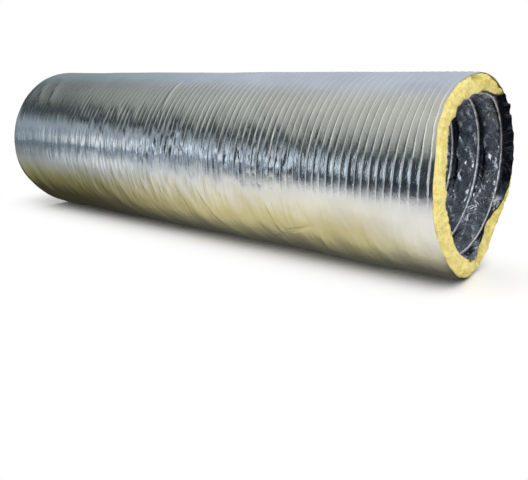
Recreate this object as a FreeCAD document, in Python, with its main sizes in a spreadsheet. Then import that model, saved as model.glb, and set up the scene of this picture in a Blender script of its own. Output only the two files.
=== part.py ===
import FreeCAD, Part
import math
import os

import Sketcher

os.makedirs("parts", exist_ok=True)
doc = FreeCAD.newDocument("insulated_flexible_duct")

# The duct lies along X with its near end at +X, and the floor is at Z = 0.
# It is four stretches in a row. Each stretch holds the five layers of the wall, from the bore outwards:
# inner ply, wire helix, outer ply, wool blanket and jacket.

# Driving sizes, in millimetres
SIZES = {
    "duct_length": 840.0,
    "end_length": 150.0,  # the stretch at each end that turns to meet its collar
    "cut_gap": 0.3,  # between the layers of two stretches
    "bore_radius": 101.5,  # at the crest of the ridge that covers the wire
    "film_wall": 0.6,  # each ply of the core
    "wire_diameter": 1.6,
    "wire_clearance": 0.2,  # from the wire to the plies that hold it
    "wire_pitch": 36.0,
    "near_turn_inset": 35.0,  # from the near rim to a crossing of the wire at the top of the bore
    "bead_wall": 1.2,  # film beside the wire, where the two plies are bonded
    "lay_clearance": 0.2,  # between one layer and the next
    "wool_thickness": 21.8,  # as it lies, pressed a little by the jacket
    "jacket_wall": 0.5,
    "ridge_pitch": 10.0,
    "ridge_height": 0.6,  # the yarn under the jacket's film
    "ridge_crest_width": 0.8,
    "ridge_base_width": 2.6,
    "rest_flat_depth": 0.5,  # the crests are pressed flat where the duct lies on them
    "tool_reach": 20.0,  # how far a cutting tool reaches past the piece it cuts
}

sheet = doc.addObject("Spreadsheet::Sheet", "Sizes")
for row, (alias, number) in enumerate(SIZES.items(), 1):
    sheet.set(f"A{row}", alias)
    sheet.set(f"B{row}", str(number))
    sheet.setAlias(f"B{row}", alias)
doc.recompute()

# Radii of the layers, each built on the one inside it
WIRE_LINE = "(Sizes.bore_radius + Sizes.film_wall + Sizes.wire_clearance + Sizes.wire_diameter / 2)"
INNER_PLY_OUTSIDE = f"({WIRE_LINE} + Sizes.film_wall)"
INNER_PLY_MIDDLE = f"({WIRE_LINE} + Sizes.film_wall / 2)"
OUTER_PLY_INSIDE = f"({WIRE_LINE} + Sizes.wire_diameter / 2 + Sizes.wire_clearance)"
OUTER_PLY_OUTSIDE = f"({OUTER_PLY_INSIDE} + Sizes.film_wall)"
WOOL_INSIDE = f"({OUTER_PLY_OUTSIDE} + Sizes.lay_clearance)"
WOOL_OUTSIDE = f"({WOOL_INSIDE} + Sizes.wool_thickness)"
JACKET_INSIDE = f"({WOOL_OUTSIDE} + Sizes.lay_clearance)"
JACKET_OUTSIDE = f"({JACKET_INSIDE} + Sizes.jacket_wall)"
RIDGE_CREST = f"({JACKET_OUTSIDE} + Sizes.ridge_height)"
AXIS_HEIGHT = f"({RIDGE_CREST} - Sizes.rest_flat_depth)"

# The inner ply beside the wire, across the wire's own line
GROOVE_RADIUS = "(Sizes.wire_diameter / 2 + Sizes.wire_clearance)"
BEAD_RADIUS = f"({GROOVE_RADIUS} + Sizes.bead_wall)"
WIRE_INSET = f"({BEAD_RADIUS} + Sizes.cut_gap / 2)"  # leaves the bead whole at both ends of a stretch

# Where each stretch starts and ends along X
END_PLANE = "(Sizes.duct_length / 2)"
BEND_PLANE = "(Sizes.duct_length / 2 - Sizes.end_length)"
STRETCHES = {
    "near_end": (f"({BEND_PLANE} + Sizes.cut_gap / 2)", END_PLANE),
    "near_middle": ("(Sizes.cut_gap / 2)", f"({BEND_PLANE} - Sizes.cut_gap / 2)"),
    "far_middle": (f"(-{BEND_PLANE} + Sizes.cut_gap / 2)", "(-Sizes.cut_gap / 2)"),
    "far_end": (f"(-{END_PLANE})", f"(-{BEND_PLANE} - Sizes.cut_gap / 2)"),
}
NEAR_TWIN = {"far_middle": "near_middle", "far_end": "near_end"}  # stretches of one length

ARC_PAIR = 0.5  # turns of the helix that each pair of arcs covers
SHORTEST_ARC = 1e-6  # turns
VOLUME_MATCH = 0.001  # share by which a swept tube's volume may differ from its section times its length
GAP_STEP = 10.0  # along the wire, between the points that its least gap is measured on
DUCT_AXIS = FreeCAD.Vector(1, 0, 0)
UP_TO_AXIS = FreeCAD.Rotation(FreeCAD.Vector(0, 1, 0), 90)  # lays a cylinder's Z axis along X


def value(expression):
    """The number that an expression on the sheet gives."""
    return float(doc.getObject("Sizes").evalExpression(expression))


def cylinder(name, radius, start, end, past="0"):
    """A cylinder on the duct's axis between two planes, carried on past both by a length."""
    tool = doc.addObject("Part::Cylinder", name)
    tool.Placement.Rotation = UP_TO_AXIS
    tool.setExpression("Radius", radius)
    tool.setExpression("Height", f"{end} - {start} + 2 * {past}")
    tool.setExpression("Placement.Base.x", f"{start} - {past}")
    tool.setExpression("Placement.Base.z", AXIS_HEIGHT)
    return tool


def boolean(kind, name, base, tool):
    """One shape cut by, joined to or kept inside another."""
    made = doc.addObject(f"Part::{kind}", name)
    made.Base = base
    made.Tool = tool
    return made


def ring(name, inside, outside, start, end):
    """A plain tube on the duct's axis."""
    return boolean(
        "Cut",
        name,
        cylinder(f"{name}_outside", outside, start, end),
        cylinder(f"{name}_inside", inside, start, end, past="Sizes.tool_reach"),
    )


def padded_tube(label, inside, outside, start, end):
    """A layer of even thickness, as a sketch of two circles padded along X."""
    body = doc.addObject("PartDesign::Body", f"{label}_body")
    body.Label = label
    plane = next(f for f in body.Origin.OriginFeatures if f.Role == "YZ_Plane")
    sketch = body.newObject("Sketcher::SketchObject", f"{label}_section")
    sketch.AttachmentSupport = [(plane, "")]
    sketch.MapMode = "FlatFace"
    sketch.setExpression("AttachmentOffset.Base.z", start)
    for side, radius in (("outside", outside), ("inside", inside)):
        centre = FreeCAD.Vector(0, value(AXIS_HEIGHT), 0)
        circle = Part.Circle(centre, FreeCAD.Vector(0, 0, 1), value(radius))
        edge = sketch.addGeometry(circle, False)
        sketch.addConstraint(Sketcher.Constraint("PointOnObject", edge, 3, -2))
        height = sketch.addConstraint(Sketcher.Constraint("DistanceY", -1, 1, edge, 3, value(AXIS_HEIGHT)))
        sketch.renameConstraint(height, f"{side}_height")
        sketch.setExpression(f"Constraints.{side}_height", AXIS_HEIGHT)
        size = sketch.addConstraint(Sketcher.Constraint("Radius", edge, value(radius)))
        sketch.renameConstraint(size, f"{side}_radius")
        sketch.setExpression(f"Constraints.{side}_radius", radius)
    pad = body.newObject("PartDesign::Pad", f"{label}_pad")
    pad.Profile = sketch
    pad.setExpression("Length", f"{end} - {start}")
    body.Tip = pad
    return body


def helix_point(turn):
    """The wire's line, so many turns towards +X from the crossing that near_turn_inset places."""
    angle = 2 * math.pi * turn
    return FreeCAD.Vector(
        first_turn_x + wire_pitch * turn,
        -wire_line * math.sin(angle),
        axis_height + wire_line * math.cos(angle),
    )


def helix_direction(turn):
    """The unit tangent of the wire's line."""
    angle = 2 * math.pi * turn
    tangent = FreeCAD.Vector(
        wire_pitch / (2 * math.pi), -wire_line * math.cos(angle), -wire_line * math.sin(angle)
    )
    return tangent.normalize()


def tangent_arc(start, direction, end):
    """The circular arc that leaves start along direction and arrives at end."""
    chord = end - start
    along = FreeCAD.Vector(chord).normalize()
    aside = direction - along * direction.dot(along)
    angle = math.atan2(aside.Length, direction.dot(along))
    rise = chord.Length / 2 * math.tan(angle / 2)
    middle = (start + end) * 0.5 + aside.normalize() * rise
    return Part.Arc(start, middle, end).toShape()


def helix_path(span, run_out):
    """The wire's helix as pairs of arcs that meet at every half turn, run on past both its ends."""
    first, last = span
    halves = range(math.ceil(first / ARC_PAIR), math.floor(last / ARC_PAIR) + 1)
    turns = [first - run_out, first] + [i * ARC_PAIR for i in halves] + [last, last + run_out]
    arcs = []
    for from_turn, to_turn in zip(turns, turns[1:]):
        if to_turn - from_turn < SHORTEST_ARC:
            continue
        start, end = helix_point(from_turn), helix_point(to_turn)
        leaving, arriving = helix_direction(from_turn), helix_direction(to_turn)
        chord = end - start
        square = 2 * (1 - leaving.dot(arriving))
        linear = 2 * chord.dot(leaving + arriving)
        reach = (math.sqrt(linear**2 + 4 * square * chord.dot(chord)) - linear) / (2 * square)
        control = start + leaving * reach
        turning = (end - arriving * reach - control).normalize()
        meeting = control + turning * reach
        arcs += [tangent_arc(start, leaving, meeting), tangent_arc(meeting, turning, end)]
    return Part.Wire(arcs)


def helix_tube(name, radius, span):
    """A round tube along the wire's line, longer than the wire at each end by as much as it's thicker."""
    run_out = (radius - value("Sizes.wire_diameter / 2")) / turn_length
    path = helix_path(span, run_out)
    first = span[0] - run_out
    section = Part.Circle(helix_point(first), helix_direction(first), radius)
    shell = Part.BRepOffsetAPI.MakePipeShell(path)
    shell.add(Part.Wire([section.toShape()]))
    shell.build()
    shell.makeSolid()
    made = doc.addObject("Part::Feature", name)
    made.Shape = shell.shape()
    expected = math.pi * radius**2 * path.Length
    if abs(made.Shape.Volume / expected - 1) > VOLUME_MATCH:
        raise RuntimeError(f"{name} doesn't have its section all along its line")
    return made, path


def least_gap(path, radius):
    """The least space between one turn of a tube and the next, measured on points of its line."""
    steps = int(path.Length / GAP_STEP)
    points = path.discretize(Number=steps)
    half_turn = int(steps * math.pi * wire_line / path.Length)
    apart = [
        points[i].distanceToPoint(points[k])
        for i in range(steps)
        for k in range(i + half_turn, steps)
    ]
    return min(apart) - 2 * radius


def make_jacket(stretch, start, end):
    """The foil jacket, with a ridge over every turn of its yarn and its crests pressed flat below."""
    label = f"{stretch}_jacket"
    plain, crest = value(JACKET_OUTSIDE), value(RIDGE_CREST)
    base, top = value("Sizes.ridge_base_width") / 2, value("Sizes.ridge_crest_width") / 2
    pitch = value("Sizes.ridge_pitch")
    low, high = value(start), value(end)
    count = int(value("Sizes.duct_length") / pitch)
    profile = [(low, plain)]
    for i in range(count):
        x = (i - (count - 1) / 2) * pitch
        if low < x - base and x + base < high:
            profile += [(x - base, plain), (x - top, crest), (x + top, crest), (x + base, plain)]
    profile.append((high, plain))
    circles = [
        Part.Wire([Part.Circle(FreeCAD.Vector(x, 0, axis_height), DUCT_AXIS, radius).toShape()])
        for x, radius in profile
    ]
    blank = doc.addObject("Part::Feature", f"{label}_blank")
    blank.Shape = Part.makeLoft(circles, True, True)
    bore = cylinder(f"{label}_bore", JACKET_INSIDE, start, end, past="Sizes.tool_reach")
    shell = boolean("Cut", f"{label}_shell", blank, bore)
    floor = doc.addObject("Part::Box", f"{label}_floor")
    floor.setExpression("Length", f"{end} - {start} + 2 * Sizes.tool_reach")
    floor.setExpression("Width", f"2 * {RIDGE_CREST}")
    floor.setExpression("Height", "Sizes.tool_reach")
    floor.setExpression("Placement.Base.x", f"{start} - Sizes.tool_reach")
    floor.setExpression("Placement.Base.y", f"-{RIDGE_CREST}")
    floor.setExpression("Placement.Base.z", "-Sizes.tool_reach")
    jacket = boolean("Cut", f"{label}_pressed", shell, floor)
    jacket.Label = label
    return jacket


def wire_span(start, end):
    """The turns between which a stretch's wire runs, its cut ends just inside the stretch."""
    return (
        (value(f"{start} + {WIRE_INSET}") - first_turn_x) / wire_pitch,
        (value(f"{end} - {WIRE_INSET}") - first_turn_x) / wire_pitch,
    )


def make_wire(stretch, start, end):
    """The steel wire that holds the bore open."""
    label = f"{stretch}_wire_helix"
    radius = value("Sizes.wire_diameter / 2")
    first, last = wire_span(start, end)
    wire, path = helix_tube(f"{label}_tube", radius, (first, last))
    wire.Label = label
    print(f"{label}: {last - first:.2f} turns, least gap to itself {least_gap(path, radius):.2f} mm")
    return wire


def make_inner_ply(stretch, start, end):
    """The inner film of the core, bulged into the bore along the wire that lies in its groove."""
    label = f"{stretch}_inner_ply"
    span = wire_span(start, end)
    bead, _ = helix_tube(f"{label}_bead", value(BEAD_RADIUS), span)
    band = ring(f"{label}_band", "Sizes.bore_radius", INNER_PLY_MIDDLE, start, end)
    ridge = boolean("Common", f"{label}_ridge", bead, band)
    film = ring(f"{label}_film", WIRE_LINE, INNER_PLY_OUTSIDE, start, end)
    joined = boolean("Fuse", f"{label}_joined", film, ridge)
    groove, _ = helix_tube(f"{label}_groove", value(GROOVE_RADIUS), span)
    ply = boolean("Cut", f"{label}_grooved", joined, groove)
    ply.Label = label
    return ply


def screwed_along(piece, twin, stretch):
    """A wound piece's twin on the far side: moved along the duct and turned with the wire's helix."""
    shift = value(STRETCHES[stretch][0]) - value(STRETCHES[twin][0])
    turn = FreeCAD.Rotation(DUCT_AXIS, 360 * shift / wire_pitch)
    axis = FreeCAD.Vector(0, 0, axis_height)
    made = doc.addObject("Part::Feature", piece.Label.replace(twin, stretch) + "_twin")
    made.Shape = piece.Shape.copy()
    made.Placement = FreeCAD.Placement(DUCT_AXIS * shift, turn, axis).multiply(made.Placement)
    made.Label = piece.Label.replace(twin, stretch)
    return made


wire_line = value(WIRE_LINE)
wire_pitch = value("Sizes.wire_pitch")
turn_length = math.hypot(wire_pitch, 2 * math.pi * wire_line)
axis_height = value(AXIS_HEIGHT)
first_turn_x = value(f"{END_PLANE} - Sizes.near_turn_inset")

subparts = []
for stretch, (start, end) in STRETCHES.items():
    subparts += [
        make_jacket(stretch, start, end),
        padded_tube(f"{stretch}_wool_blanket", WOOL_INSIDE, WOOL_OUTSIDE, start, end),
        padded_tube(f"{stretch}_outer_ply", OUTER_PLY_INSIDE, OUTER_PLY_OUTSIDE, start, end),
    ]
wound = {}
for stretch in NEAR_TWIN.values():
    wound[stretch] = [make_wire(stretch, *STRETCHES[stretch]), make_inner_ply(stretch, *STRETCHES[stretch])]
doc.recompute()
for stretch, twin in NEAR_TWIN.items():
    wound[stretch] = [screwed_along(piece, twin, stretch) for piece in wound[twin]]
for pieces in wound.values():
    subparts += pieces
doc.recompute()

for item in doc.Objects:
    if "Invalid" in item.State or "Error" in item.State:
        raise RuntimeError(f"{item.Name} failed: {item.State}")
for part in subparts:
    shape = part.Shape
    if shape.isNull() or not shape.isValid() or len(shape.Solids) != 1:
        raise RuntimeError(f"{part.Label} isn't one valid solid")
for part in subparts:
    part.Shape.exportStep(f"parts/{part.Label}.step")
    box = part.Shape.BoundBox
    print(f"{part.Label}: x {box.XMin:.2f} to {box.XMax:.2f}, z {box.ZMin:.2f} to {box.ZMax:.2f}")
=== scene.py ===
import bpy
import numpy as np
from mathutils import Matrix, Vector


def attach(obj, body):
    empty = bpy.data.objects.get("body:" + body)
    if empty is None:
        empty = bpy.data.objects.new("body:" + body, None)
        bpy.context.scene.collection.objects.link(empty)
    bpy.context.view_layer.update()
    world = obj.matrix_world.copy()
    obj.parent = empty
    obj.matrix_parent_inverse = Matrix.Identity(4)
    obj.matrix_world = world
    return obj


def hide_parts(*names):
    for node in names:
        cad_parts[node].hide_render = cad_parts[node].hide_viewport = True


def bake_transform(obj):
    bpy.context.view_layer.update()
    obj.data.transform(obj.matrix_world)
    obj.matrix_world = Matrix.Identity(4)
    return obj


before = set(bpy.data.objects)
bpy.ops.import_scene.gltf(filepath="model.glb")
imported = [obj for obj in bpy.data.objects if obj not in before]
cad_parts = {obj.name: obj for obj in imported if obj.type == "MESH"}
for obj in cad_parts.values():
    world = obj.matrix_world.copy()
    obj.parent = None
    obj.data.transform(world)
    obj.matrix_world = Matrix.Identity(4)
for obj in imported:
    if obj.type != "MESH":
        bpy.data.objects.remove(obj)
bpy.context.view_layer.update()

# Inner ply of the core.
# A strip of thin aluminium film wound into the bore. The steel wire lies behind it and lifts it in a
# ridge at every turn, and between the turns the film is slack and crumpled. It is cut off by hand.
AXIS_HEIGHT = 0.1275
HALF_LENGTH = 0.42
SEAM = 0.12  # the pieces of a layer meet here, where the film isn't bending
STRETCHES = {
    "near": (SEAM, HALF_LENGTH, "near_middle", "near_end"),
    "middle": (-SEAM, SEAM, "far_middle", "near_middle"),
    "far": (-HALF_LENGTH, -SEAM, "far_end", "far_middle"),
}
CAD_NODES = {
    "near": ("near_end", "near_middle"),
    "middle": ("near_middle", "far_middle"),
    "far": ("far_middle", "far_end"),
}
FULL_TURN = 2 * np.pi
NOISE_REACH = 0.7  # how far from the middle of the duct the noise goes each way
LONG_CELL = 0.5  # noise in cells this long hardly changes along the duct's ends
FOLD_WAVES = 8
SHARP_EDGE = 50  # degrees, past which the edge between two faces is left sharp
WIRE_PITCH = 0.036
FIRST_CROSSING = 0.385  # where the wire crosses the top of the bore near the near end
LAST_TURN_SLIP = 0.005
WIRE_LINE = 0.1031
CORE_INSIDE = 0.1033  # where the film is pulled tight beside the wire
WIRE_RIDGE = 0.0019  # how far the wire lifts the film into the bore
CORE_BILLOW = 0.0034
PLY_WALL = 0.0004
MOUTH_SHIFT = 0.013  # at the near mouth the core lies off centre, away from the thick side of the wool
MOUTH_START = 0.27


def softened(t):
    """A smooth step made of an even one from 0 to 1."""
    return t * t * (3 - 2 * t)


def eased(value, low, high):
    """0 below low, 1 above high, and a smooth step between them."""
    return softened(np.clip((value - low) / (high - low), 0, 1))


def bell(value, width):
    """1 where the value is 0, and less on both sides by the square of value over width."""
    return np.exp(-((value / width) ** 2))


def rumple(x, angle, along, around, seed):
    """Smooth noise from -1 to 1: random heights at the corners of a net of cells, eased from corner to
    corner, and the same again after a full turn. A cell is so many metres along and around the duct."""
    count = max(3, round(FULL_TURN * AXIS_HEIGHT / around))
    net = np.random.default_rng(seed).uniform(-1, 1, (int(2 * NOISE_REACH / along) + 4, count))
    u, v = (x + NOISE_REACH) / along, angle / FULL_TURN * count
    i, j = np.floor(u).astype(int), np.floor(v).astype(int)
    u, v = softened(u - i), softened(v - j)
    j, k = j % count, (j + 1) % count
    before = net[i, j] * (1 - v) + net[i, k] * v
    after = net[i + 1, j] * (1 - v) + net[i + 1, k] * v
    return before * (1 - u) + after * u


def crumpled(x, angle, size, seed):
    """Crushed foil, about -1 to 1: the mean of eight triangle waves, each in a direction of its own, whose
    flat flanks meet in sharp folds. Smooth noise pushes the folds to and fro."""
    draw = np.random.default_rng(seed)
    height = np.zeros(np.broadcast(x, angle).shape)
    for wave in range(FOLD_WAVES):
        heading, start = draw.uniform(0, np.pi), draw.uniform(0, 1)
        turns = round(FULL_TURN * AXIS_HEIGHT / size * np.cos(heading))
        phase = turns * angle / FULL_TURN + x * np.sin(heading) / size + start
        phase += 0.45 * rumple(x, angle, 1.7 * size, 1.7 * size, seed + 1 + wave)
        height += np.abs(2 * (phase % 1) - 1)
    return 2 * height / FOLD_WAVES - 1


def pushed_back(x):
    """How far the last turn of the wire has slipped back from the cut, where nothing holds it any more."""
    return LAST_TURN_SLIP * eased(x, FIRST_CROSSING, 0.413)


def past_wire(x, angle):
    """How far along the duct a point lies past the turn of the wire before it. The wire's line moves along
    by a pitch in a full turn."""
    return (x + pushed_back(x) - FIRST_CROSSING - WIRE_PITCH * angle / FULL_TURN) % WIRE_PITCH


def from_wire(x, angle):
    """How far along the duct a point is from the nearest turn of the wire."""
    return WIRE_PITCH / 2 - np.abs(past_wire(x, angle) - WIRE_PITCH / 2)


def lapped(x, angle):
    """1 where two turns of the strip lap, in a flat band just past the wire, and 0 on single film."""
    past = past_wire(x, angle)
    wide = 0.0085 + 0.0030 * rumple(x, angle, 0.04, 0.02, 18)
    return eased(past, 0.0008, 0.0018) * eased(wide - past, -0.0012, 0.0012)


def core_slack(x, angle):
    """How far the core's film stands out between two turns of the wire: a billow that is deepest just past
    the wire, and crushed folds in two sizes. Both vanish at the wire, where the film is pulled tight, and
    only a fine rumple goes on over it."""
    free = eased(from_wire(x, angle), 0.0010, 0.0055) * (1 - 0.7 * lapped(x, angle))
    past = past_wire(x, angle)
    billow = CORE_BILLOW * eased(past, 0.0008, 0.006) * (1 - eased(past, 0.006, 0.035))
    billow *= 1 + 0.4 * rumple(x, angle, 0.03, 0.05, 11)
    folds = 0.0038 * crumpled(x, angle, 0.025, 12) + 0.0023 * crumpled(x, angle, 0.012, 32)
    fine = 0.00016 * rumple(x, angle, 0.0035, 0.0045, 14)
    return billow + free * folds + (0.15 + 0.85 * free) * fine


def mouth_shift(x):
    """How far the core is pushed aside, away from the camera, near its near mouth."""
    return MOUTH_SHIFT * eased(x, MOUTH_START, HALF_LENGTH)


def all_round(count):
    """Angles that share a full turn out evenly."""
    return np.linspace(0, FULL_TURN, count, endpoint=False)


def placed(x, radius, angle, shift=0.0):
    """Points round the duct's axis, in metres: the angle runs from the top towards -Y."""
    return np.stack([x, shift - radius * np.sin(angle), AXIS_HEIGHT + radius * np.cos(angle)], axis=-1)


def in_scene(name, held):
    """A new object of the scene, which holds a mesh, a lamp or a camera."""
    made = bpy.data.objects.new(name, held)
    bpy.context.scene.collection.objects.link(made)
    return made


def mesh_object(name, points, faces, material, **marks):
    """An object from an array of points and an array of faces, smooth but for its sharp edges. Its marks
    are numbers from 0 to 1 at each point: ridge, a painted highlight along a crest, and one for laps,
    painted shade where film lies double or is pressed flat."""
    mesh = bpy.data.meshes.new(name)
    mesh.from_pydata(points.reshape(-1, 3), [], faces)
    mesh.shade_smooth()
    mesh.set_sharp_from_angle(angle=np.radians(SHARP_EDGE))
    mesh.materials.append(material)
    for mark, values in marks.items():
        mesh.attributes.new(mark, "FLOAT", "POINT").data.foreach_set("value", values.ravel())
    return in_scene(name, mesh)


def closed_shell(name, points, material, **marks):
    """A closed skin from a grid of points whose rows and columns both come round to their start. Its faces
    are turned over where the volume that they go round comes out negative."""
    rows, columns = points.shape[:2]
    index = np.arange(rows * columns).reshape(rows, columns)
    down, across = np.roll(index, -1, 0), np.roll(index, -1, 1)
    corner = np.roll(down, -1, 1)
    faces = np.stack([index, across, corner, down], axis=-1).reshape(-1, 4)
    a, b, c = (points.reshape(-1, 3)[faces[:, k]] for k in (0, 1, 2))
    volume = np.einsum("ij,ij->", a - a.mean(0), np.cross(b - a.mean(0), c - a.mean(0)))
    return mesh_object(name, points, faces if volume > 0 else faces[:, ::-1], material, **marks)


def lined_up(shown, hidden):
    """The rows of a skin, forward along its fine side and back along its hidden side, and which of them
    are hidden."""
    return np.concatenate([shown, hidden[::-1]]), np.arange(len(shown) + len(hidden)) >= len(shown)


def blended(piece, stretch, layer):
    """Bakes a piece's place into its mesh, and hides the CAD nodes of its layer, which it stands in for."""
    if stretch == "near":
        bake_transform(piece)
    else:
        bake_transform(piece)
    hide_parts(*(f"{body}_{layer}" for body in CAD_NODES[stretch]))


# The hand-cut edges: how far the near one leans out, in metres by degrees from the top, and the far one,
# how far both are trimmed so that their wander ends at the duct's length, and how much of a layer follows.
NEAR_LEAN = (
    (0, 28, 54, 64, 75, 90, 105, 120, 135, 155, 190, 228, 270),
    (0.0, -0.006, -0.0045, -0.0005, 0.0045, 0.0065, 0.007, 0.010, 0.013, 0.012, 0.003, -0.002, 0.002),
)
FAR_LEAN = 0.003
TRIM = 0.002
CUT_REACH = 0.04


def rim(end, angle, rough, seed):
    """The x of a hand-cut edge at either end: it leans a little, and wanders by the given roughness."""
    if end > 0:
        lean = np.interp(np.degrees(angle), *NEAR_LEAN, period=360)
    else:
        lean = FAR_LEAN * np.cos(angle + 0.6)
    flat = np.full_like(angle, end)
    wander = rumple(flat, angle, LONG_CELL, 0.030, seed)
    wander += 0.5 * rumple(flat, angle, LONG_CELL, 0.008, seed + 1)
    return end - np.sign(end) * TRIM + lean + rough * wander


def stretched(x, angle, rough, seed, inset=0.0):
    """Moves the ends of a layer's rows so that they follow the cut, and the near end back by the inset."""
    near, far = rim(HALF_LENGTH, angle, rough, seed) - inset, rim(-HALF_LENGTH, angle, rough, seed + 7)
    x = x + (near - HALF_LENGTH) * np.clip((x - HALF_LENGTH + CUT_REACH) / CUT_REACH, 0, 1)
    return x + (far + HALF_LENGTH) * np.clip((-HALF_LENGTH + CUT_REACH - x) / CUT_REACH, 0, 1)


def add(tree, kind, inputs=(), **settings):
    """Adds a shader node. The settings are its own fields, and each input takes a value or a link."""
    node = tree.nodes.new(kind)
    for name, value in settings.items():
        setattr(node, name, value)
    for name, value in dict(inputs).items():
        if isinstance(value, bpy.types.NodeSocket):
            tree.links.new(value, node.inputs[name])
        else:
            node.inputs[name].default_value = value
    return node


def worked(tree, operation, *values, clamp=False):
    """The result of a Math node on values or links."""
    node = add(tree, "ShaderNodeMath", dict(enumerate(values)), operation=operation, use_clamp=clamp)
    return node.outputs[0]


def spread(tree, value, low, high, first=0.0, last=1.0, smooth=False):
    """A value taken from the range low to high into the range first to last."""
    kind = "SMOOTHSTEP" if smooth else "LINEAR"
    ends = {"Value": value, "From Min": low, "From Max": high, "To Min": first, "To Max": last}
    return add(tree, "ShaderNodeMapRange", ends, interpolation_type=kind).outputs["Result"]


def noise(tree, place, scale, **more):
    """Noise from 0 to 1 at a place, in finer cells the greater the scale."""
    return add(tree, "ShaderNodeTexNoise", {"Vector": place, "Scale": scale, **more}).outputs["Fac"]


def toned(tree, factor, *stops):
    """A colour from a ramp of positions and colours."""
    node = add(tree, "ShaderNodeValToRGB", {"Fac": factor})
    while len(node.color_ramp.elements) < len(stops):
        node.color_ramp.elements.new(0.5)
    for element, (position, colour) in zip(node.color_ramp.elements, stops):
        element.position, element.color = position, (*colour, 1)
    return node.outputs["Color"]


def blend_of(tree, factor, first, second):
    """A colour between two, each a value or a link."""
    first, second = (c if isinstance(c, bpy.types.NodeSocket) else (*c, 1) for c in (first, second))
    ends = {"Factor": factor, "A": first, "B": second}
    return add(tree, "ShaderNodeMix", ends, data_type="RGBA").outputs["Result"]


def new_material(name):
    """A new material, its nodes, its surface shader, and the place of a point on the piece."""
    material = bpy.data.materials.new(name)
    material.use_nodes = True
    tree = material.node_tree
    return material, tree, tree.nodes["Principled BSDF"], add(tree, "ShaderNodeTexCoord").outputs["Object"]


def bumped(tree, surface, height, depth):
    """Roughens a surface by a height that counts for so many metres of depth."""
    bump = add(tree, "ShaderNodeBump", {"Distance": depth, "Height": height})
    tree.links.new(bump.outputs["Normal"], surface.inputs["Normal"])


def crinkle_group():
    """Film that has been squeezed and smoothed out. Height is fine noise and soft folds, a fold being where
    a second noise crosses its middle. Creases is 1 along the sharpest of the folds."""
    group = bpy.data.node_groups.new("film_crinkle", "ShaderNodeTree")
    group.interface.new_socket("Place", in_out="INPUT", socket_type="NodeSocketVector")
    group.interface.new_socket("Size", in_out="INPUT", socket_type="NodeSocketFloat").default_value = 120
    group.interface.new_socket("Fold", in_out="INPUT", socket_type="NodeSocketFloat").default_value = 0.5
    group.interface.new_socket("Height", in_out="OUTPUT", socket_type="NodeSocketFloat")
    group.interface.new_socket("Creases", in_out="OUTPUT", socket_type="NodeSocketFloat")
    enter, leave = group.nodes.new("NodeGroupInput"), group.nodes.new("NodeGroupOutput")
    place, size, fold = (enter.outputs[name] for name in ("Place", "Size", "Fold"))
    fine = noise(group, place, size, Detail=5, Roughness=0.55)
    second = noise(group, place, worked(group, "MULTIPLY", size, 0.4), Detail=2, Distortion=0.5)
    off = worked(group, "ABSOLUTE", worked(group, "SUBTRACT", second, 0.5))
    sharp = spread(group, off, 0.0, 0.25, 1.0, 0.0)
    creased = worked(group, "MULTIPLY", worked(group, "POWER", sharp, 3.0), fold)
    group.links.new(worked(group, "ADD", fine, creased), leave.inputs["Height"])
    group.links.new(spread(group, off, 0.0, 0.03, 1.0, 0.0), leave.inputs["Creases"])
    return group


FILM_CRINKLE = crinkle_group()


def film_material(name, bright, dull, painted_highlight, metal, gloss, mottle, size, fold, depth, squeeze, lap=None):
    """Metallised film: two tones of aluminium in soft patches, finely crinkled, and duller along its creases.
    Where it laps it gets painted shade, and along the crests of its ridges a painted highlight, paler and
    less metallic. Metal is given for plain film and for the painted highlight, and gloss as the roughness of
    smooth and of creased film."""
    material, tree, surface, where = new_material(name)
    squeezed = add(tree, "ShaderNodeMapping", {"Vector": where, "Scale": squeeze}).outputs["Vector"]
    settings = {"Place": squeezed, "Size": size, "Fold": fold}
    crinkle = add(tree, "ShaderNodeGroup", settings, node_tree=FILM_CRINKLE)
    patches = noise(tree, where, mottle, Detail=4)
    tone = blend_of(tree, spread(tree, patches, 0.35, 0.65), bright, dull)
    # Painted shade: the lap colour is laid over the film wherever the lap mark is set.
    if lap:
        painted_shade_mask = add(tree, "ShaderNodeAttribute", attribute_name="lap").outputs["Fac"]
        tone = blend_of(tree, painted_shade_mask, tone, lap)
    # Painted highlight: along the ridge mark the film turns to the crest colour and is less metallic.
    ridge = add(tree, "ShaderNodeAttribute", attribute_name="ridge").outputs["Fac"]
    tree.links.new(blend_of(tree, ridge, tone, painted_highlight), surface.inputs["Base Color"])
    tree.links.new(spread(tree, ridge, 0.0, 1.0, *metal), surface.inputs["Metallic"])
    worn = worked(tree, "MULTIPLY_ADD", crinkle.outputs["Creases"], 0.4, patches)
    tree.links.new(spread(tree, worn, 0.3, 1.0, *gloss), surface.inputs["Roughness"])
    bumped(tree, surface, crinkle.outputs["Height"], depth)
    return material


# The core film's nearly black lap colour is painted shade on its lapped bands and on its pressed rim.
core_film = film_material(
    "core_film", bright=(0.93, 0.96, 1.0), dull=(0.56, 0.64, 0.78), painted_highlight=(1.0, 0.95, 0.94),
    metal=(0.92, 0.05), gloss=(0.14, 0.34), mottle=75, size=150, fold=1.0, depth=0.00055, squeeze=(1, 1, 1),
    lap=(0.03, 0.036, 0.052))
CORE_COLUMNS = 320
CORE_STEP = {"near": 0.0011, "middle": 0.00125, "far": 0.00125}
CORE_HIDDEN_ROWS = 26
# The near rim of the core, by degrees from the top: how far it turns out over the wool, where it is pressed
# flat, and where it is cut shorter than the wool.
TURNED_OUT = (236, 250, 270, 290, 306, 328, 341), (0.0, 0.0025, 0.0015, 0.004, 0.010, 0.011, 0.0)
PRESSED = (226, 240, 332, 343), (0.0, 1.0, 1.0, 0.0)
CUT_SHORT = (184, 202, 212, 222, 234, 246, 256), (0.0, 0.008, 0.007, 0.010, 0.008, 0.003, 0.0)


def by_degrees(angle, table):
    """A value from a table by degrees from the top."""
    return np.interp(np.degrees(angle), *table)


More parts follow.
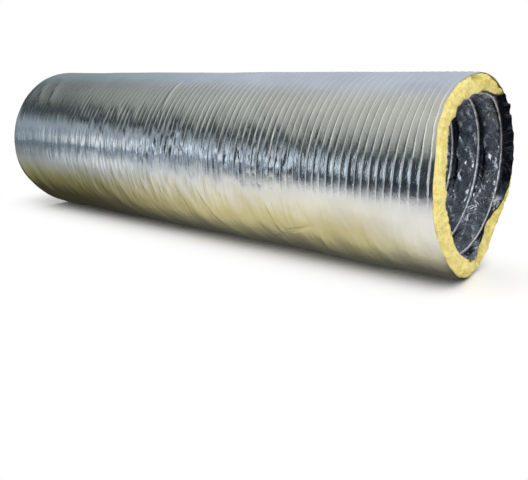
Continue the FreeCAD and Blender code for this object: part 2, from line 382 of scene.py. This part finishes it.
def turned_out(x, angle):
    """How far the near rim is turned out over the wool, in its last 8 mm and with a ragged edge."""
    ragged = 0.84 + 0.16 * rumple(x, angle, LONG_CELL, 0.012, 15)
    ragged += 0.10 * rumple(x, angle, LONG_CELL, 0.006, 16)
    return ragged * eased(x, 0.4115, 0.4195) * by_degrees(angle, TURNED_OUT)


for stretch, (low, high, *_) in STRETCHES.items():
    shown = np.linspace(low, high, round((high - low) / CORE_STEP[stretch]) + 1)
    x, back = lined_up(shown, np.linspace(low, high, CORE_HIDDEN_ROWS))
    angle, x = np.meshgrid(all_round(CORE_COLUMNS), x)
    pressed = by_degrees(angle, PRESSED)
    tucked = 0.003 * eased(np.sin(angle), 0.0, 0.5) - 0.003 * pressed + by_degrees(angle, CUT_SHORT)
    at = stretched(x, angle, 0.0017, 21, tucked)
    inside = CORE_INSIDE + core_slack(at, angle) - WIRE_RIDGE * bell(from_wire(at, angle), 0.0013)
    radius = inside + PLY_WALL * back[:, None]
    points = placed(at, radius + turned_out(x, angle), angle, mouth_shift(x))
    # Painted highlight along the film's crest over each turn of the wire, and none on the hidden side.
    painted_highlight = bell(from_wire(at, angle), 0.0010) * (0.8 + 0.2 * rumple(x, angle, 0.01, 0.015, 17))
    painted_highlight = np.where(back[:, None], 0.0, painted_highlight)
    # The lap mark is painted shade, on the bands where two turns of the strip lap and on the rim pressed flat
    # over the wool.
    lap = np.maximum(lapped(at, angle), pressed * eased(at, 0.405, 0.410))
    piece = closed_shell(f"{stretch}_inner_ply", points, core_film, ridge=painted_highlight, lap=lap)
    blended(piece, stretch, "inner_ply")

# Wire helix.
# Hard-drawn spring steel, wound at an even pitch between the two plies, which hold it in place. It is
# what keeps the bore round and springs the duct open again. It is snipped off with the rest.
WIRE_RADIUS = 0.0008
WIRE_SIDES = 8
WIRE_POINTS_PER_TURN = 90
WIRE_INSET = 0.0025  # from the duct's ends to the wire's


def steel_material():
    """Drawn spring steel: grey, with faint lines and a slightly uneven polish."""
    material, tree, surface, where = new_material("spring_steel")
    surface.inputs["Metallic"].default_value = 1.0
    lines = noise(tree, where, 900)
    tone = toned(tree, lines, (0.25, (0.30, 0.30, 0.32)), (0.75, (0.55, 0.55, 0.57)))
    tree.links.new(tone, surface.inputs["Base Color"])
    tree.links.new(spread(tree, lines, 0.2, 0.8, 0.25, 0.45), surface.inputs["Roughness"])
    return material


def rod(name, line, radius, sides, material):
    """A round rod along a line of points: rings square to the line, closed by a face at each end."""
    ahead = np.gradient(line, axis=0)
    ahead /= np.linalg.norm(ahead, axis=1, keepdims=True)
    off_axis = line[:, 1] - mouth_shift(line[:, 0]), line[:, 2] - AXIS_HEIGHT
    out = np.stack([np.zeros(len(line)), *off_axis], axis=1)
    out -= ahead * np.sum(out * ahead, axis=1, keepdims=True)
    out /= np.linalg.norm(out, axis=1, keepdims=True)
    aside = np.cross(ahead, out)
    turn = all_round(sides)[None, :, None]
    points = line[:, None] + radius * (np.cos(turn) * out[:, None] + np.sin(turn) * aside[:, None])
    index = np.arange(points.shape[0] * sides).reshape(-1, sides)
    across = np.roll(index, -1, 1)
    walls = np.stack([index[:-1], across[:-1], across[1:], index[1:]], axis=-1).reshape(-1, 4)
    return mesh_object(name, points, [*walls.tolist(), index[0][::-1].tolist(), index[-1].tolist()], material)


spring_steel = steel_material()
for stretch, (low, high, *_) in STRETCHES.items():
    first = (low + WIRE_INSET * (stretch == "far") - FIRST_CROSSING) / WIRE_PITCH
    last = (high - WIRE_INSET * (stretch == "near") - FIRST_CROSSING) / WIRE_PITCH
    turns = np.linspace(first, last, round((last - first) * WIRE_POINTS_PER_TURN))
    even = FIRST_CROSSING + WIRE_PITCH * turns
    x = even - pushed_back(even - pushed_back(even))
    line = placed(x, WIRE_LINE, FULL_TURN * turns, mouth_shift(x))
    piece = rod(f"{stretch}_wire_helix", line, WIRE_RADIUS, WIRE_SIDES, spring_steel)
    blended(piece, stretch, "wire_helix")

# Outer ply of the core.
# A second strip of the same film, wound over the wire and bonded to the inner ply beside it. It shows
# only as a torn edge at the two mouths.
OUTER_COLUMNS = 240
OUTER_ROWS = 120
OUTER_INSIDE = 0.1042
OUTER_INSET = 0.006  # how far its near edge is torn back

for stretch, (low, high, *_) in STRETCHES.items():
    x, back = lined_up(np.linspace(low, high, OUTER_ROWS), np.linspace(low, high, OUTER_ROWS))
    angle, x = np.meshgrid(all_round(OUTER_COLUMNS), x)
    at = stretched(x, angle, 0.0018, 31, OUTER_INSET + by_degrees(angle, CUT_SHORT))
    radius = OUTER_INSIDE + core_slack(at, angle) + turned_out(x, angle) + PLY_WALL * back[:, None]
    points = placed(at, radius, angle, mouth_shift(x))
    piece = closed_shell(f"{stretch}_outer_ply", points, core_film)
    blended(piece, stretch, "outer_ply")

# Wool blanket.
# Yellow glass wool, rolled round the core in one thickness and pressed a little by the jacket. Its cut
# ends show clumps and layers of fibre, deeper on the side where the core lies off centre.
WOOL_COLUMNS = 420
WOOL_LONG_ROWS = 44
WOOL_FACE_ROWS = 30
WOOL_OUTSIDE = 0.1263
WOOL_INSIDE = 0.1052
WOOL_LEAST_HEIGHT = 0.0010  # of its outside above the floor, under the jacket
WOOL_FACE = 0.024  # about the width of its cut face


def wool_material():
    """Glass wool: pale yellow of uneven depth, with fibres felted in flat layers, and darker where its bump
    is low: partly its own uneven tone, partly painted shade in its hollows.
    """
    material, tree, surface, where = new_material("glass_wool")
    surface.inputs["Roughness"].default_value = 0.95
    surface.inputs["Sheen Weight"].default_value = 0.3
    clumps = noise(tree, where, 75, Detail=7, Roughness=0.65, Distortion=1.0)
    layered = add(tree, "ShaderNodeMapping", {"Vector": where, "Scale": (0.5, 1, 1)}).outputs["Vector"]
    fibres = noise(tree, layered, 800, Detail=3, Distortion=3)
    mixed = worked(tree, "MULTIPLY_ADD", fibres, 0.3, clumps)
    # The same noise darkens the colour where it sinks the bump: partly uneven tone, partly painted shade in
    # the hollows.
    tone = toned(tree, spread(tree, mixed, 0.30, 1.00), (0.0, (0.55, 0.41, 0.07)), (0.30, (0.80, 0.65, 0.16)),
                 (0.55, (0.94, 0.81, 0.27)), (1.0, (0.99, 0.92, 0.50)))
    tree.links.new(tone, surface.inputs["Base Color"])
    bumped(tree, surface, mixed, 0.0025)
    return material


glass_wool = wool_material()


def jacket_dents(x, angle):
    """The jacket's long soft hollows and swells, which the wool under it shares. They are weaker on top."""
    weight = 0.35 + 0.65 * eased(-np.cos(angle), -0.8, 0.2)
    long = 0.0013 * rumple(x, angle + 2 * x, 0.09, 0.11, 41)
    return weight * (long + 0.0008 * rumple(x, angle, 0.05, 0.07, 42))


def rolled_in(x, angle):
    """How far the jacket's cut edges curl in over the wool, more on the underside than on top."""
    return (0.0006 + 0.0016 * eased(-np.cos(angle), 0.2, 0.7)) * eased(np.abs(x), 0.409, 0.420)


def above_floor(radius, angle, least):
    """The radius, made smaller where the duct rests, so that the surface stays this far above the floor."""
    sunk = AXIS_HEIGHT + radius * np.cos(angle) < least
    return np.where(sunk, (least - AXIS_HEIGHT) / np.minimum(np.cos(angle), -0.5), radius)


# Where the near cut face has come apart, in degrees, and how widely, and how far both faces are pushed in:
# the near one by a table, under the rim that is turned out over it. The rest is in metres.
WOOL_GAPS = ((2, 16), (331, 12), (210, 10))
GAP_DEPTH = 0.011
NEAR_SUNK = (268, 290, 328, 340), (0.0, 0.005, 0.005, 0.0)
FAR_SUNK = 0.006
FACE_CROWN = 0.0045
FACE_INSET = 0.0026


def wool_end(angle, depth, end):
    """The x of the cut face: it follows the hand-cut edge, crowned, with clumps in three sizes, and with
    a few gaps close under the jacket where the wool has come apart."""
    across = depth * WOOL_FACE
    lumps = 0.0024 * rumple(across + 0.3 * end, angle, 0.012, 0.016, 51)
    lumps += 0.0013 * rumple(across - end, angle, 0.005, 0.006, 52)
    lumps += 0.0007 * rumple(across + end, angle, 0.0025, 0.003, 53)
    turned = np.degrees(angle)
    apart = sum(bell((turned - at + 180) % 360 - 180, wide) for at, wide in WOOL_GAPS)
    ragged = eased(-rumple(across + end, angle, LONG_CELL, 0.012, 54), 0.0, 0.7)
    gaps = GAP_DEPTH * apart * ragged * eased(-depth, -0.45, -0.1)
    crown = FACE_CROWN * np.sin(np.pi * np.clip(depth, 0, 1)) ** 0.7
    sunk = by_degrees(angle, NEAR_SUNK) if end > 0 else FAR_SUNK
    return rim(end, angle, 0.001, 61) + np.sign(end) * (crown + lumps - gaps - sunk - FACE_INSET)


def wool_point(x, angle, depth):
    """A point of the blanket: depth 0 is against the jacket and 1 against the core. At the near end the wool
    on the camera's side bulges a little over the edge of the core."""
    lip = 0.0012 * eased(x, 0.400, 0.418) * eased(np.sin(angle), -0.2, 0.4)
    lip *= 1 + 1.5 * rumple(x, angle, LONG_CELL, 0.016, 55)
    outer = WOOL_OUTSIDE + jacket_dents(x, angle) - rolled_in(x, angle)
    outer = placed(x, above_floor(outer, angle, WOOL_LEAST_HEIGHT), angle)
    inner = WOOL_INSIDE + core_slack(x, angle) + turned_out(x, angle) - lip
    inner = placed(x, inner, angle, mouth_shift(x))
    return outer * (1 - depth[..., None]) + inner * depth[..., None]


for stretch, (low, high, *_) in STRETCHES.items():
    across = np.linspace(0, 1, WOOL_FACE_ROWS)[1:-1]
    depth = np.concatenate([np.zeros(WOOL_LONG_ROWS), across, np.ones(WOOL_LONG_ROWS), across[::-1]])
    x = np.linspace(low, high, WOOL_LONG_ROWS)
    x = np.concatenate([x, np.full(len(across), high), x[::-1], np.full(len(across), low)])
    angle = all_round(WOOL_COLUMNS)
    (angle, x), (_, depth) = np.meshgrid(angle, x), np.meshgrid(angle, depth)
    for end in (HALF_LENGTH, -HALF_LENGTH):
        along = np.clip(1 - np.abs(x - end) / CUT_REACH, 0, 1)
        x = np.where(along > 0, x + (wool_end(angle, depth, end) - end) * along, x)
    piece = closed_shell(f"{stretch}_wool_blanket", wool_point(x, angle, depth), glass_wool)
    blended(piece, stretch, "wool_blanket")

# Loose fibres.
# Bundles of glass fibre that the knife has pulled out of the two cut ends. They lie on the wool in every
# direction, held by it at both ends, and stand up a little in between.
STRANDS = 4200
STRAND_RADIUS = 0.00011
STRAND_RINGS = 4
STRAND_SIDES = 3
STRAND_LENGTH = 0.003, 0.009
STRAND_RISE = 0.0002, 0.0016
STRAND_FOOT = 0.0002  # how deep its ends stick in the wool


def strands(end, seed):
    """Thin three-sided bows: each goes from one random point of the cut face to another a few millimetres
    away, and rises over it by half a sine."""
    draw = np.random.default_rng(seed)
    angle, depth = draw.uniform(0, FULL_TURN, STRANDS), draw.uniform(0.04, 0.96, STRANDS)
    heading, length = draw.uniform(0, FULL_TURN, STRANDS), draw.uniform(*STRAND_LENGTH, STRANDS)
    t = np.linspace(0, 1, STRAND_RINGS)[None, :]
    bend = draw.normal(0, 0.4, STRANDS)[:, None] * np.sin(np.pi * t)
    a = angle[:, None] + (np.cos(heading)[:, None] * t + bend * 0.3) * length[:, None] / AXIS_HEIGHT
    d = np.clip(depth[:, None] + np.sin(heading)[:, None] * t * length[:, None] / WOOL_FACE, 0.02, 0.98)
    rise = np.sin(np.pi * t) * draw.uniform(*STRAND_RISE, STRANDS)[:, None] - STRAND_FOOT
    x = wool_end(a % FULL_TURN, d, end) + np.sign(end) * rise
    line = wool_point(x, a % FULL_TURN, d)
    ahead = np.gradient(line, axis=1)
    ahead /= np.linalg.norm(ahead, axis=2, keepdims=True)
    side = np.cross(ahead, (1.0, 0.0, 0.0))
    side /= np.linalg.norm(side, axis=2, keepdims=True)
    other = np.cross(ahead, side)
    turn = all_round(STRAND_SIDES)
    taper = STRAND_RADIUS * (1 - 0.5 * np.abs(2 * t - 1))[..., None, None]
    ring = np.cos(turn)[:, None] * side[:, :, None] + np.sin(turn)[:, None] * other[:, :, None]
    points = line[:, :, None] + taper * ring
    index = np.arange(STRANDS * STRAND_RINGS * STRAND_SIDES).reshape(STRANDS, STRAND_RINGS, STRAND_SIDES)
    across = np.roll(index, -1, 2)
    walls = np.stack([index[:, :-1], across[:, :-1], across[:, 1:], index[:, 1:]], axis=-1).reshape(-1, 4)
    caps = np.concatenate([index[:, 0, ::-1], index[:, -1]])
    return points, [*walls.tolist(), *caps.tolist()]


for stretch, end, body in (("near", HALF_LENGTH, "near_end"), ("far", -HALF_LENGTH, "far_end")):
    piece = mesh_object(f"{stretch}_wool_fibres", *strands(end, seed=65), glass_wool)
    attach(piece, body)

# Jacket.
# A sleeve of thin metallised film, with a yarn laid in it every 10 mm, drawn over the wool. The yarns
# show as fine ridges, the film hollows between them, and handling has crumpled it along the sides.
RIDGE_PITCH = 0.010
RIDGE_HEIGHT = 0.00034
HOLLOW_DEPTH = 0.00014
JACKET_FILM = 0.1274
JACKET_WALL = 0.0004
JACKET_COLUMNS = 380
JACKET_HIDDEN_ROWS = 14
JACKET_LEAST_HEIGHTS = 0.0006, 0.0002  # of its inside and its outside above the floor
RIDGE_SAMPLES = np.array([0.0, 0.24, 0.38, 0.45, 0.5, 0.55, 0.62, 0.76]) * RIDGE_PITCH
DASH_PITCH = 0.0062
# Folds that handling has left: where each starts and ends (x in metres, degrees from the top), how high it
# stands, and how wide its flanks are on the sides towards the far end and the near end.
HANDLING_FOLDS = (
    ((-0.402, 24), (-0.362, 60), 0.0007, 0.0030, 0.012),
    ((-0.358, 24), (-0.328, 58), 0.0007, 0.0030, 0.012),
    ((0.144, 154), (0.198, 132), -0.0016, 0.003, 0.003),
    ((0.198, 132), (0.256, 120), -0.0012, 0.0024, 0.0024),
    ((0.142, 70), (0.146, 85), -0.0012, 0.0014, 0.0014),
    ((0.321, 76), (0.324, 91), -0.0012, 0.0014, 0.0014),
    ((-0.034, 26), (-0.029, 58), 0.0013, 0.004, 0.0014),
    ((0.262, 122), (0.259, 148), 0.0009, 0.0014, 0.005),
    ((0.185, 108), (0.196, 142), 0.0008, 0.0014, 0.005),
    ((-0.30, 120), (-0.27, 158), 0.0010, 0.0020, 0.008),
    ((0.055, 104), (0.085, 135), 0.0009, 0.0018, 0.006),
)


def handling_folds(x, angle):
    """Each fold is a bell across its line, its height fading to nothing at both ends of the line."""
    total = 0.0
    for (x0, a0), (x1, a1), height, far_width, near_width in HANDLING_FOLDS:
        along, around = x1 - x0, np.radians(a1 - a0) * AXIS_HEIGHT
        dx, da = x - x0, (angle - np.radians(a0)) * AXIS_HEIGHT
        t = np.clip((dx * along + da * around) / (along**2 + around**2), 0, 1)
        off = np.hypot(dx - t * along, da - t * around)
        width = np.where((dx * around - da * along) * around > 0, near_width, far_width)
        total = total + height * (1 - (2 * t - 1) ** 4) * bell(off, width)
    return total


def patch(x, angle, centre, turned, along, around):
    """A round-edged patch of the jacket: 1 at its centre, fading with the square of the distance. It is
    given by x and degrees from the top."""
    return np.exp(-(((x - centre) / along) ** 2) - ((np.degrees(angle) - turned) / around) ** 2)


def from_yarn(x):
    """How far along the duct a point is from the nearest yarn."""
    return np.abs(x / RIDGE_PITCH % 1 - 0.5) * RIDGE_PITCH


def ridge_strength(x, angle):
    """How clearly the yarns show: fully over the near half and all along the back, hardly on the front
    towards the far end but for one patch, and only faintly on the underside, where the film is slack."""
    above = 0.16 + 0.84 * eased(np.cos(angle), -0.22, 0.02)
    tight = np.maximum(eased(x, -0.16, 0.08), eased(-np.sin(angle), 0.05, 0.5))
    return np.clip(0.08 + 0.92 * tight + 0.40 * patch(x, angle, -0.16, 62, 0.10, 15), 0, 1) * above


def painted_glints(x, angle):
    """Painted glints along the side: a row of short dashes, and below it a row of streaks, one between every
    two yarns. Each is a wave along the duct, pushed to and fro by smooth noise."""
    loose = 0.25 * rumple(x, angle, 0.02, 0.03, 78)
    dashes = eased(np.cos(FULL_TURN * (x / DASH_PITCH + loose)), 0.1, 0.9)
    dashes *= patch(x, angle, -0.17, 81.5, 0.105, 3.0)
    streaks = eased(np.cos(FULL_TURN * (x / RIDGE_PITCH + loose)), 0.3, 1.0)
    streaks *= patch(x, angle, -0.145, 97, 0.075, 4.5)
    return np.clip(2.0 * dashes * eased(rumple(x, angle, 0.013, 0.02, 79), -0.8, 0.0) + 1.2 * streaks, 0, 1)


def jacket_radius(x, angle):
    """The jacket's outside: plain film, with a bell over every yarn and half a sine down between two yarns,
    panels and pleats that each lean their own way along the side, crushed patches, long soft folds on the
    underside, and the folds and dents of its own."""
    strength = ridge_strength(x, angle)
    wobble = 1 + 0.3 * rumple(x, angle, 0.010, 0.030, 71)
    ridge = RIDGE_HEIGHT * strength * wobble * bell(from_yarn(x), 0.0006)
    between_yarns = np.clip((from_yarn(x) - 0.001) / 0.008, 0, 0.5)
    hollow = -HOLLOW_DEPTH * (0.2 + 0.8 * strength) * np.sin(np.pi * between_yarns)
    free = np.clip(from_yarn(x) / 0.003, 0, 1)
    side = eased(np.sin(angle), 0.70, 0.98) * (0.15 + 0.85 * eased(x, -0.36, -0.16))
    side *= 1 - 0.8 * eased(x, 0.22, 0.31)
    panels = (0.00005 + 0.00075 * side) * rumple(x, angle, 0.010, 0.019, 72) * (0.3 + 0.7 * free)
    pleats = (0.00002 + 0.00014 * side) * rumple(x, angle, 0.0034, 0.018, 75)
    patches = patch(x, angle, -0.01, 80, 0.055, 15) + 0.5 * patch(x, angle, 0.17, 84, 0.09, 10)
    crushed = 0.0022 * patches * crumpled(1.5 * x, 0.55 * angle, 0.019, 73)
    under = eased(-np.cos(angle), 0.0, 0.6)
    folds = 0.0018 * under * crumpled(x - 0.035 * angle, 0.35 * angle, 0.045, 74)
    film = JACKET_FILM + ridge + hollow + panels + pleats + crushed + folds
    return film + handling_folds(x, angle) + jacket_dents(x, angle)


jacket_film = film_material(
    "jacket_film", bright=(0.90, 0.91, 0.92), dull=(0.80, 0.81, 0.82), painted_highlight=(0.86, 0.85, 0.81),
    metal=(1.0, 0.4), gloss=(0.07, 0.20), mottle=22, size=230, fold=0.6, depth=0.00009, squeeze=(2.5, 1, 1))
for stretch, (low, high, *_) in STRETCHES.items():
    shown = (np.arange(low, high - 1e-6, RIDGE_PITCH)[:, None] + RIDGE_SAMPLES).ravel()
    x, back = lined_up(np.append(shown, high), np.linspace(low, high, JACKET_HIDDEN_ROWS))
    angle, x = np.meshgrid(all_round(JACKET_COLUMNS), x)
    inner = JACKET_FILM - JACKET_WALL + jacket_dents(x, angle) - rolled_in(x, angle)
    outer = jacket_radius(x, angle) - rolled_in(x, angle)
    inner, outer = (above_floor(r, angle, least) for r, least in zip((inner, outer), JACKET_LEAST_HEIGHTS))
    # Painted highlight along the yarns' crests: gone below the horizontal and weaker on top.
    painted_highlight = bell(from_yarn(x), 0.0005) * ridge_strength(x, angle)
    painted_highlight *= 0.7 + 0.3 * rumple(x, angle, 0.010, 0.02, 76)
    painted_highlight *= eased(np.cos(angle), -0.5, 0.0)
    painted_highlight *= 1 - 0.45 * eased(np.cos(angle), 0.0, 0.3)
    # Painted glints: the side's rows of bright dashes and streaks are laid over the painted highlight.
    painted_highlight = np.where(back[:, None], 0.0, np.maximum(painted_highlight, painted_glints(x, angle)))
    points = placed(stretched(x, angle, 0.0010, 61), np.where(back[:, None], inner, outer), angle)
    piece = closed_shell(f"{stretch}_jacket", points, jacket_film, ridge=painted_highlight)
    blended(piece, stretch, "jacket")

# Floor, light and camera.
# A plain pale floor under soft light, seen from the near end, a little above the duct's own height. Metal
# shows what stands round it: the room has darker and warmer parts, and the floor gives off a painted
# reflection, with the duct's painted shadow in it, which only reflections show.
FLOOR_SIZE = 14.0
FLOOR_REACH = 1.5  # the part of the floor over which its tone in reflections changes
# Painted reflection: tones that the floor gives off to reflections only, by how far they lie aside of the
# duct as a share of that reach; the darkest, beside the duct, are its painted shadow
BESIDE_MIDDLE = (
    (0.0, (0.02, 0.02, 0.02)), (0.038, (0.10, 0.10, 0.07)), (0.055, (0.28, 0.25, 0.14)),
    (0.068, (0.52, 0.46, 0.23)), (0.087, (0.64, 0.56, 0.30)), (0.107, (0.73, 0.66, 0.44)),
    (0.147, (0.82, 0.78, 0.65)), (0.213, (0.79, 0.79, 0.75)), (0.30, (0.46, 0.48, 0.49)),
    (0.40, (0.27, 0.29, 0.31)), (0.50, (0.08, 0.095, 0.11)), (1.0, (0.02, 0.03, 0.04)),
)
BESIDE_NEAR_END = (
    (0.0, (0.02, 0.02, 0.02)), (0.038, (0.10, 0.10, 0.08)), (0.055, (0.33, 0.31, 0.22)),
    (0.068, (0.60, 0.56, 0.42)), (0.087, (0.76, 0.73, 0.62)), (0.107, (0.83, 0.80, 0.72)),
    (0.147, (0.86, 0.84, 0.79)), (0.213, (0.74, 0.74, 0.72)), (0.27, (0.46, 0.47, 0.48)),
    (0.33, (0.28, 0.29, 0.32)), (0.40, (0.06, 0.07, 0.085)), (1.0, (0.02, 0.03, 0.04)),
)
BESIDE_FAR_END = (
    (0.0, (0.02, 0.02, 0.02)), (0.060, (0.05, 0.045, 0.025)), (0.087, (0.16, 0.145, 0.065)),
    (0.107, (0.23, 0.22, 0.11)), (0.147, (0.34, 0.35, 0.29)), (0.213, (0.52, 0.56, 0.58)),
    (0.30, (0.55, 0.61, 0.64)), (0.40, (0.38, 0.43, 0.48)), (0.65, (0.24, 0.29, 0.35)),
    (1.0, (0.30, 0.37, 0.45)),
)
ROOM_REACH = 1.25  # a little more than straight up, which is 1
# Tones of the room in reflections, by height as a share of that reach: 0 is level
ROOM_TONES = (
    (0.0, (0.66, 0.79, 0.93)), (0.05, (0.80, 0.92, 1.0)), (0.11, (0.66, 0.77, 0.89)),
    (0.18, (0.41, 0.47, 0.54)), (0.265, (0.15, 0.18, 0.19)), (0.33, (0.03, 0.04, 0.05)),
    (0.385, (0.06, 0.07, 0.07)), (0.44, (0.16, 0.18, 0.165)), (0.50, (0.28, 0.305, 0.28)),
    (0.58, (0.37, 0.395, 0.36)), (0.68, (0.45, 0.465, 0.42)), (0.82, (0.55, 0.56, 0.50)),
    (1.0, (0.58, 0.58, 0.51)),
)


def between(tree, factor, first, second):
    """A shader that goes from the first to the second as the factor does."""
    return add(tree, "ShaderNodeMixShader", {"Fac": factor, 1: first, 2: second}).outputs[0]


def floor_material():
    """Pale floor: white to the eye and fading into the backdrop. To reflections it gives off a painted
    reflection: dark under the duct, which is the duct's painted shadow, straw-coloured beside it, white
    further out, and dark beyond the light. Beside the near end it is paler and turns dark sooner, towards the
    far end it is duller and bluer, with a dark part aside of that end, and before the near mouth it goes from
    white on the camera's side to nearly black."""
    material, tree, surface, where = new_material("floor")
    tree.nodes.remove(surface)
    x, y, _ = add(tree, "ShaderNodeSeparateXYZ", {0: where}).outputs
    along, across = worked(tree, "ABSOLUTE", x), worked(tree, "ABSOLUTE", y)
    past = worked(tree, "SUBTRACT", along, HALF_LENGTH, clamp=True)
    joined = add(tree, "ShaderNodeCombineXYZ", {"X": past, "Y": y}).outputs[0]
    away = add(tree, "ShaderNodeVectorMath", {0: joined}, operation="LENGTH").outputs["Value"]
    aside = spread(tree, across, 0.0, FLOOR_REACH)
    slanted = worked(tree, "MULTIPLY_ADD", across, 0.5, x)
    tone = blend_of(tree, spread(tree, slanted, 0.34, 0.46), toned(tree, aside, *BESIDE_MIDDLE),
                    toned(tree, aside, *BESIDE_NEAR_END))
    nearer = spread(tree, slanted, -0.29, 0.15, smooth=True)
    tone = blend_of(tree, nearer, toned(tree, aside, *BESIDE_FAR_END), tone)
    off = worked(tree, "SUBTRACT", worked(tree, "MULTIPLY", along, 0.5), aside)
    shaded = spread(tree, aside, 0.12, 0.22, 0.0, 0.75)
    shaded = worked(tree, "MULTIPLY", spread(tree, off, 0.05, 0.15), shaded)
    shaded = worked(tree, "MULTIPLY", shaded, spread(tree, x, 0.0, -0.4))
    tone = blend_of(tree, shaded, tone, (0.07, 0.09, 0.10))
    front = toned(tree, spread(tree, y, -0.60, 0.0), (0.2, (0.90, 0.94, 1.0)), (0.55, (0.58, 0.66, 0.78)),
                  (0.85, (0.03, 0.04, 0.055)))
    tone = blend_of(tree, spread(tree, x, 0.46, 0.56, smooth=True), tone, front)
    seen = add(tree, "ShaderNodeBsdfDiffuse", {"Color": (0.97, 0.97, 0.97, 1)}).outputs[0]
    # Painted reflection: an emission that only reflections see, with the painted shadow in it.
    mirrored = add(tree, "ShaderNodeEmission", {"Color": tone}).outputs[0]
    white = add(tree, "ShaderNodeEmission", {"Color": (1, 1, 1, 1)}).outputs[0]
    path = add(tree, "ShaderNodeLightPath").outputs
    eye = between(tree, spread(tree, away, 0.04, 0.16, smooth=True), seen, white)
    plain = between(tree, path["Is Camera Ray"], seen, eye)
    shown = between(tree, path["Is Glossy Ray"], plain, mirrored)
    tree.links.new(shown, tree.nodes["Material Output"].inputs["Surface"])
    return material


half = FLOOR_SIZE / 2
corners = [(-half, -half, 0), (half, -half, 0), (half, half, 0), (-half, half, 0)]
floor_mesh = bpy.data.meshes.new("floor")
floor_mesh.from_pydata(corners, [], [(0, 1, 2, 3)])
floor_mesh.materials.append(floor_material())
floor = in_scene("floor", floor_mesh)


def studio_world():
    """White to the eye and plain as a light. In reflections its tone goes by height: pale blue low down, a
    dark band above that, and pale again overhead. The part that the near end shows is dark right down, and
    past the far end it is dark low down. Behind the duct it is blue-grey, straight out beside it warm white,
    and before the near mouth it goes from white on the camera's side through nearly black to grey."""
    world = bpy.data.worlds.new("studio")
    world.use_nodes = True
    tree = world.node_tree
    tree.nodes.clear()
    where = add(tree, "ShaderNodeTexCoord").outputs["Generated"]
    x, y, z = add(tree, "ShaderNodeSeparateXYZ", {0: where}).outputs
    nearer = spread(tree, x, -0.59, -0.52, smooth=True)
    raised = worked(tree, "MULTIPLY_ADD", nearer, 0.12, z)
    raised = worked(tree, "MAXIMUM", raised, worked(tree, "MULTIPLY", nearer, 0.41))
    tone = toned(tree, spread(tree, raised, 0.0, ROOM_REACH), *ROOM_TONES)
    faint = worked(tree, "MULTIPLY", spread(tree, x, -0.68, -0.86, 0.0, 0.85), spread(tree, z, 0.30, 0.15))
    tone = blend_of(tree, faint, tone, (0.10, 0.13, 0.15))
    behind = toned(tree, spread(tree, x, -0.85, -0.65), (0.0, (0.20, 0.25, 0.26)), (1.0, (0.49, 0.54, 0.62)))
    tone = blend_of(tree, spread(tree, y, 0.0, 0.5, smooth=True), tone, behind)
    lit = spread(tree, x, -0.12, 0.04, smooth=True)
    lit = worked(tree, "MULTIPLY", lit, spread(tree, y, 0.40, 0.15, smooth=True))
    lit = worked(tree, "MULTIPLY", lit, spread(tree, z, 0.15, 0.55, 0.35, 1.0, smooth=True))
    tone = blend_of(tree, lit, tone, (0.92, 0.89, 0.78))
    mouth = toned(tree, spread(tree, y, -0.70, 0.50), (0.19, (1.0, 0.99, 0.95)), (0.38, (0.42, 0.49, 0.58)),
                  (0.52, (0.10, 0.12, 0.16)), (0.70, (0.02, 0.025, 0.03)), (1.0, (0.42, 0.47, 0.53)))
    tone = blend_of(tree, spread(tree, x, 0.15, 0.35, smooth=True), tone, mouth)
    path = add(tree, "ShaderNodeLightPath").outputs
    mirrored = add(tree, "ShaderNodeBackground", {"Color": tone}).outputs[0]
    plain = add(tree, "ShaderNodeBackground", {"Color": (0.80, 0.80, 0.80, 1)}).outputs[0]
    white = add(tree, "ShaderNodeBackground", {"Color": (1, 1, 1, 1)}).outputs[0]
    shown = between(tree, path["Is Camera Ray"], between(tree, path["Is Glossy Ray"], plain, mirrored), white)
    add(tree, "ShaderNodeOutputWorld", {"Surface": shown})
    return world


def facing(direction):
    """The turn that points a lamp or a camera in a direction."""
    return Vector(direction).to_track_quat("-Z", "Y").to_euler()


bpy.context.scene.world = studio_world()

lamp = bpy.data.lights.new("softbox", "AREA")
lamp.shape, lamp.size, lamp.energy = "SQUARE", 2.0, 30
softbox = in_scene("softbox", lamp)
softbox.location = (1.2, -1.2, 1.8)
softbox.rotation_euler = facing(Vector((0.1, 0, 0.1)) - softbox.location)
softbox.visible_glossy = False

SENSOR_WIDTH = 36
PHOTO_WIDTH = 528  # in pixels
FOCAL_LENGTH = 650  # in the same pixels
camera = in_scene("camera", bpy.data.cameras.new("camera"))
camera.data.sensor_width = SENSOR_WIDTH
camera.data.lens = SENSOR_WIDTH * FOCAL_LENGTH / PHOTO_WIDTH
camera.location = (0.7239, -0.7779, 0.2510)
camera.rotation_euler = facing((-0.61616, 0.74820, -0.24606))
bpy.context.scene.camera = camera
bpy.context.scene.view_settings.view_transform = "Standard"
